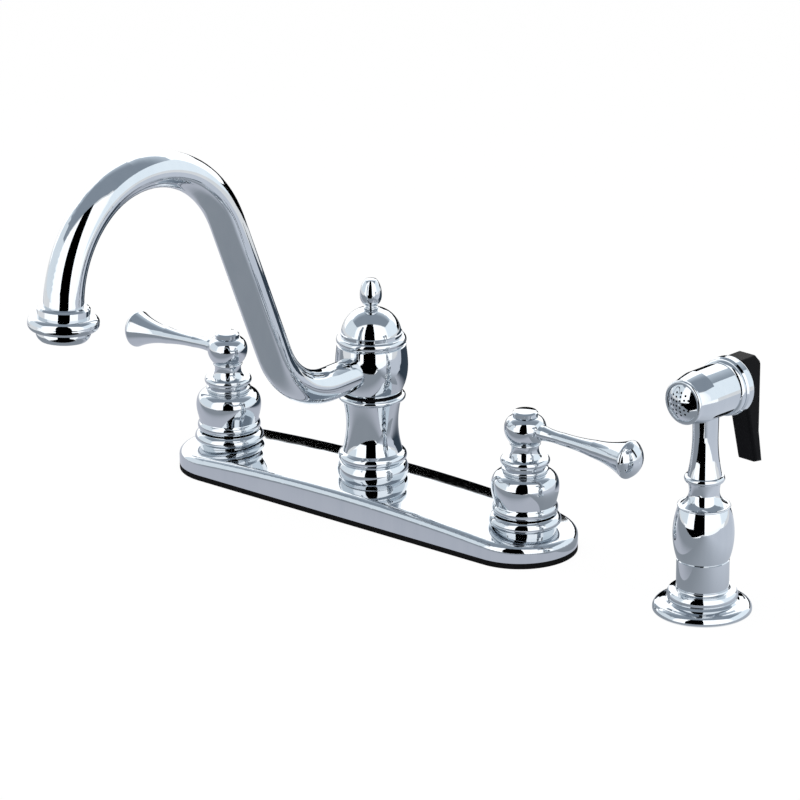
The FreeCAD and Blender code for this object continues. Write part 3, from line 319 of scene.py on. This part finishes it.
black_plastic = moulded(
    "satin_black_plastic",
    deep=(0.002, 0.002, 0.003),
    worn=(0.006, 0.006, 0.007),
    roughness=0.42,
    grain=(0.0005, 0.00003),
    highlight=0.04,
)
black_rubber = moulded(
    "black_rubber",
    deep=(0.002, 0.002, 0.002),
    worn=(0.008, 0.008, 0.009),
    roughness=0.75,
    grain=(0.0008, 0.00005),
    highlight=0.03,
)
white_plastic = moulded(
    "white_plastic",
    deep=(0.72, 0.72, 0.69),
    worn=(0.60, 0.60, 0.56),
    roughness=0.40,
    grain=(0.0006, 0.00002),
)
white_ceramic = moulded(
    "white_ceramic",
    deep=(0.80, 0.79, 0.76),
    worn=(0.68, 0.67, 0.64),
    roughness=0.28,
    grain=(0.0004, 0.00001),
)
print("rubber, plastics and ceramic")

# %% [markdown]
# ## Dress every solid
# Each solid arrives with the name of its material slot. A table from slot to
# finish dresses them all, and a slot that the table leaves out stops the script.

# %% Assign finishes
FINISHES = {
    "chrome": polished_chrome,
    "spray_face_chrome": sprayer_face_chrome,
    "brass": turned_brass,
    "copper": drawn_copper,
    "steel": bright_steel,
    "rubber": black_rubber,
    "ceramic": white_ceramic,
    "black_plastic": black_plastic,
    "white_plastic": white_plastic,
}
for name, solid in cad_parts.items():
    for place in solid.material_slots:
        place.material = FINISHES[place.material.name.split(".")[0]]
print("dressed", len(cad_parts), "solids")

# %% [markdown]
# ## Copies of the springs
# Two small coils are pressed by a moving piece: the diverter's piston rises into
# one and the sprayer's plunger slides into the other. A solid can't get shorter,
# so a steel copy of each coil's mesh stands for it on its body, and the coil is
# hidden. The copy is not flattened here; the share of its length that it would
# keep at full travel is only printed.

# %% Coils


def giving_coil(node, body, length, travel):
    """A steel copy of a spring that takes its place; length at rest and travel, in metres,
    only go into the printed share it would keep.
    """
    coil = bpy.data.objects.new(node + "_coil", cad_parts[node].data.copy())
    bpy.context.scene.collection.objects.link(coil)
    coil.data.materials.clear()
    coil.data.materials.append(bright_steel)
    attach(coil, body)
    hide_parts(node)
    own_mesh(coil)
    print(coil.name, "keeps", round(1.0 - travel / length, 3))


giving_coil(
    "diverter_spring",
    body="deck",
    length=0.0090,
    travel=0.0030,
)
giving_coil(
    "valve_spring",
    body="sprayer",
    length=0.0061,
    travel=0.0015,
)

# %% [markdown]
# ## The table
# A plain white sheet, six metres each way. For rays from the camera and rays off
# metal nearly all of it is an even glow, so the background stays white both
# directly and in the mirror. The little that is left is plain paper, which keeps
# a soft contact shadow. The air round it is white too.

# %% Floor and world
FLOOR_HALF = 6.0
FLOOR_GLOW = 0.95
PAPER = (0.85, 0.85, 0.85, 1.0)


def sheet_mesh(name, corners):
    """One flat face with these corners, as a part of the studio."""
    mesh = bpy.data.meshes.new(name)
    mesh.from_pydata(corners, [], [tuple(range(len(corners)))])
    thing = bpy.data.objects.new(name, mesh)
    bpy.context.scene.collection.objects.link(thing)
    return thing


def seen_directly(finish):
    """1 for rays from the camera, off metal or through glass, else 0."""
    path = "ShaderNodeLightPath"
    direct = finish.node(path, output="Is Camera Ray")
    mirrored = finish.node(path, output="Is Glossy Ray")
    through = finish.node(path, output="Is Transmission Ray")
    return direct + mirrored + through


sheet = coat("white_sheet")
paper = sheet.node("ShaderNodeBsdfDiffuse", {}, {"Color": PAPER})
glow = sheet.node("ShaderNodeEmission", {}, {"Strength": 1.0})
floor_mix = sheet.node(
    "ShaderNodeMixShader",
    {},
    {0: seen_directly(sheet) * FLOOR_GLOW, 1: paper, 2: glow},
)
floor_corners = [
    (FLOOR_HALF * x, FLOOR_HALF * y, 0.0) for x, y in ((-1, -1), (1, -1), (1, 1), (-1, 1))
]
floor = sheet_mesh("floor", floor_corners)
floor.data.materials.append(sheet.surface(floor_mix))

world = bpy.data.worlds.new("studio")
bpy.context.scene.world = world
room = Finish(world)
white_air = {"Color": (1.0, 1.0, 1.0, 1.0), "Strength": 1.0}
room.surface(room.node("ShaderNodeBackground", {}, white_air))
print("floor and room")

# %% [markdown]
# ## Cards that only the chrome sees
# Chrome has no look of its own: it shows the studio. So the studio is built of
# glowing cards that are hidden from the camera and light nothing but mirrors.
# Seen from the object, a card's place is its depth towards the lens, how far
# across it lies, to the right, and its height. A card may fade into a second
# colour along one direction, as real card does where its light falls off.

# %% Card helpers


def spot(depth, across, height):
    """A point of the studio, seen from the object: towards the lens, right, up."""
    return flat_back * depth + flat_right * across + Vector((0, 0, height))


def laid(places, height):
    """Corners of a card that lies flat, from its places (depth, across)."""
    return [spot(depth, across, height) for depth, across in places]


def oblong(near, far, left, side):
    """The four places of a flat card between two depths."""
    return (near, left), (near, side), (far, side), (far, left)


def stood(depth, left, side, low, high):
    """Corners of an upright card that faces the object."""
    places = ((left, low), (side, low), (side, high), (left, high))
    return [spot(depth, across, height) for across, height in places]


def walled(across, near, far, high):
    """Corners of an upright card at one side, between two depths."""
    places = ((near, 0.0), (far, 0.0), (far, high), (near, high))
    return [spot(depth, across, height) for depth, height in places]


def card(name, corners, colour, strength, fade=None):
    """A glowing card. fade is (direction, start, end, colour): the colour it turns to."""
    thing = sheet_mesh(name, corners)
    thing.visible_camera = False
    thing.visible_diffuse = False
    thing.visible_shadow = False
    thing.visible_transmission = False
    paint = coat(name)
    shade = (*colour, 1.0)
    if fade:
        direction, start, end, last = fade
        across = paint.node(
            "ShaderNodeVectorMath",
            {"operation": "DOT_PRODUCT"},
            {0: paint.place(), 1: tuple(direction)},
            output="Value",
        )
        amount = paint.node(
            "ShaderNodeMapRange",
            {"interpolation_type": "SMOOTHSTEP"},
            {"Value": across, "From Min": start, "From Max": end},
        )
        shade = paint.between(amount, colour, last)
    light = paint.node("ShaderNodeEmission", {}, {"Color": shade, "Strength": strength})
    thing.data.materials.append(paint.surface(light))


print("card helpers ready")

# %% [markdown]
# ## Panels beside the lens
# Two tall bright panels stand on either side of the lens and give every turned
# piece its broad white bands. The lens looks out between them, and that black
# gap, with its foot on the table, draws the dark stripe down each piece. Two
# bright strips lie on the table at the panels' feet.

# %% Panels beside the lens
WHITE = (1.0, 1.0, 1.0)
BLACK = (0.0, 0.0, 0.0)
PANEL_END = (0.55, 0.60, 0.66)
PANEL_GLOW = 1.7
STRIP_GLOW = 1.55
PANEL_DEPTH = 0.70
GAP_DEPTH = 0.69
PANEL_TOP = 1.25
PANEL_OUT = 2.4
GAP_LEFT = -0.33
GAP_RIGHT = 0.16
FADE_START = 0.9
ROOM_TOP = 1.4
STRIP_DEPTH = 0.27
STRIP_OUT = 1.6
FOOT_RIGHT = 0.04
FOOT_HEIGHT = 0.0012
STRIP_HEIGHT = 0.0005

card(
    "left_panel",
    stood(PANEL_DEPTH, -PANEL_OUT, GAP_LEFT, 0.0, PANEL_TOP),
    WHITE,
    PANEL_GLOW,
    (flat_right * -1.0, FADE_START, PANEL_OUT, PANEL_END),
)
card(
    "right_panel",
    stood(PANEL_DEPTH, GAP_RIGHT, PANEL_OUT, 0.0, PANEL_TOP),
    WHITE,
    PANEL_GLOW,
    (flat_right, FADE_START, PANEL_OUT, PANEL_END),
)
card("lens_gap", stood(GAP_DEPTH, GAP_LEFT, GAP_RIGHT, 0.0, ROOM_TOP), BLACK, 0.0)
gap_places = (
    (STRIP_DEPTH, GAP_LEFT),
    (STRIP_DEPTH, FOOT_RIGHT),
    (0.42, 0.12),
    (0.42, GAP_RIGHT),
    (GAP_DEPTH, GAP_RIGHT),
    (GAP_DEPTH, GAP_LEFT),
)
card("gap_foot", laid(gap_places, FOOT_HEIGHT), BLACK, 0.0)
for strip, left, side in (
    ("left_table", -STRIP_OUT, GAP_LEFT),
    ("right_table", FOOT_RIGHT, STRIP_OUT),
):
    places = oblong(STRIP_DEPTH, PANEL_DEPTH, left, side)
    card(strip, laid(places, STRIP_HEIGHT), WHITE, STRIP_GLOW)
print("two panels, the gap between them and two strips")

# %% [markdown]
# ## Cards under the object
# Every downward curve mirrors the table. A pale grey card lies under the faucet
# and deepens towards the front, which cools and darkens the lower halves of the
# handles. The sprayer stands on a card of its own that lightens to the right,
# as the light on a real table would.

# %% Cards under the object
TABLE_DEEP = (0.34, 0.37, 0.41)
TABLE_PALE = (0.60, 0.62, 0.69)
TABLE_LIGHT = (0.74, 0.78, 0.86)
CARD_GLOW = 1.0
CARD_HEIGHT = 0.0006
CARD_BACK = -0.45
CARD_SPLIT = 0.11
TOWARDS_FRONT = (0.0, -1.0, 0.0)

grey_places = (
    (CARD_BACK, -0.50),
    (CARD_BACK, CARD_SPLIT),
    (0.34, CARD_SPLIT),
    (STRIP_DEPTH, FOOT_RIGHT),
    (STRIP_DEPTH, -0.50),
)
card(
    "grey_card",
    laid(grey_places, CARD_HEIGHT),
    TABLE_PALE,
    CARD_GLOW,
    (TOWARDS_FRONT, 0.04, 0.10, TABLE_DEEP),
)
sprayer_places = ((CARD_BACK, CARD_SPLIT), (CARD_BACK, 0.60), (0.40, 0.60), (0.40, CARD_SPLIT))
card(
    "sprayer_card",
    laid(sprayer_places, CARD_HEIGHT),
    TABLE_DEEP,
    CARD_GLOW,
    (flat_right, CARD_SPLIT, 0.26, TABLE_LIGHT),
)
print("two cards under the object")

# %% [markdown]
# ## Walls, ceiling and the back of the room
# Two cool side walls close the sides, and a ceiling that is pale at the back
# darkens over the object, which gives the tube and the plate their cool upper
# faces. Behind the plate a card runs from pale to nearly black and shades the
# rear of each turned piece. Further back a black flag draws the thin dark
# contours. Its top edge slants, so that they end where they do on the real one,
# and above it shows a bright light that stands at the very back.

# %% Walls, ceiling and back
COOL = (0.88, 0.95, 1.0)
LEFT_WALL_GLOW = 1.1
RIGHT_WALL_GLOW = 1.3
CEILING_DEEP = (0.32, 0.37, 0.43)
CEILING_PALE = (0.70, 0.78, 0.86)
REAR_DARK = (0.045, 0.065, 0.09)
ROOM_BACK = -1.1
REAR_HEIGHT = 0.0008
FLAG_DEPTH = -0.75
FLAG_FOOT = ((-0.095, 0.0), (1.1, 0.0))
FLAG_TOP = (
    (1.1, 0.21),
    (0.24, 0.21),
    (0.20, 0.355),
    (0.12, 0.317),
    (0.04, 0.268),
    (-0.026, 0.217),
    (-0.095, 0.165),
)
TOWARDS_REAR = (0.0, 1.0, 0.0)

for wall, across, wall_glow in (
    ("left_wall", -STRIP_OUT, LEFT_WALL_GLOW),
    ("right_wall", STRIP_OUT, RIGHT_WALL_GLOW),
):
    card(wall, walled(across, ROOM_BACK, PANEL_DEPTH, PANEL_TOP), COOL, wall_glow)
card(
    "ceiling",
    laid(oblong(ROOM_BACK, GAP_DEPTH, -PANEL_OUT, PANEL_OUT), ROOM_TOP),
    CEILING_PALE,
    CARD_GLOW,
    (flat_back, ROOM_BACK, -0.3, CEILING_DEEP),
)
rear_corners = [
    Vector((x, y, REAR_HEIGHT))
    for x, y in ((-0.26, 0.08), (0.16, 0.08), (0.34, 0.70), (-0.60, 0.70))
]
card(
    "rear_card",
    rear_corners,
    TABLE_PALE,
    CARD_GLOW,
    (TOWARDS_REAR, 0.08, 0.16, REAR_DARK),
)
flag_corners = [spot(FLAG_DEPTH, across, height) for across, height in FLAG_FOOT + FLAG_TOP]
card("back_flag", flag_corners, BLACK, 0.0)
card("back_light", stood(ROOM_BACK, -PANEL_OUT, PANEL_OUT, 0.1, ROOM_TOP), WHITE, PANEL_GLOW)
print("walls, ceiling, rear card, flag and back light")

# %% [markdown]
# ## Soft light for what isn't a mirror
# One wide lamp overhead gives the plastic, the rubber and the sheet of paper
# their shading. The mirror parts don't need it.

# %% Lamp
LAMP_SIZE = (1.2, 0.9)
LAMP_WATTS = 9.0
LAMP_PLACE = (0.0, -0.2, 1.3)

lamp = bpy.data.objects.new("overhead", bpy.data.lights.new("overhead", "AREA"))
lamp.data.shape = "RECTANGLE"
lamp.data.size, lamp.data.size_y = LAMP_SIZE
lamp.data.energy = LAMP_WATTS
lamp.location = LAMP_PLACE
lamp.visible_glossy = False
bpy.context.scene.collection.objects.link(lamp)
print("lamp", lamp.data.energy, "W")
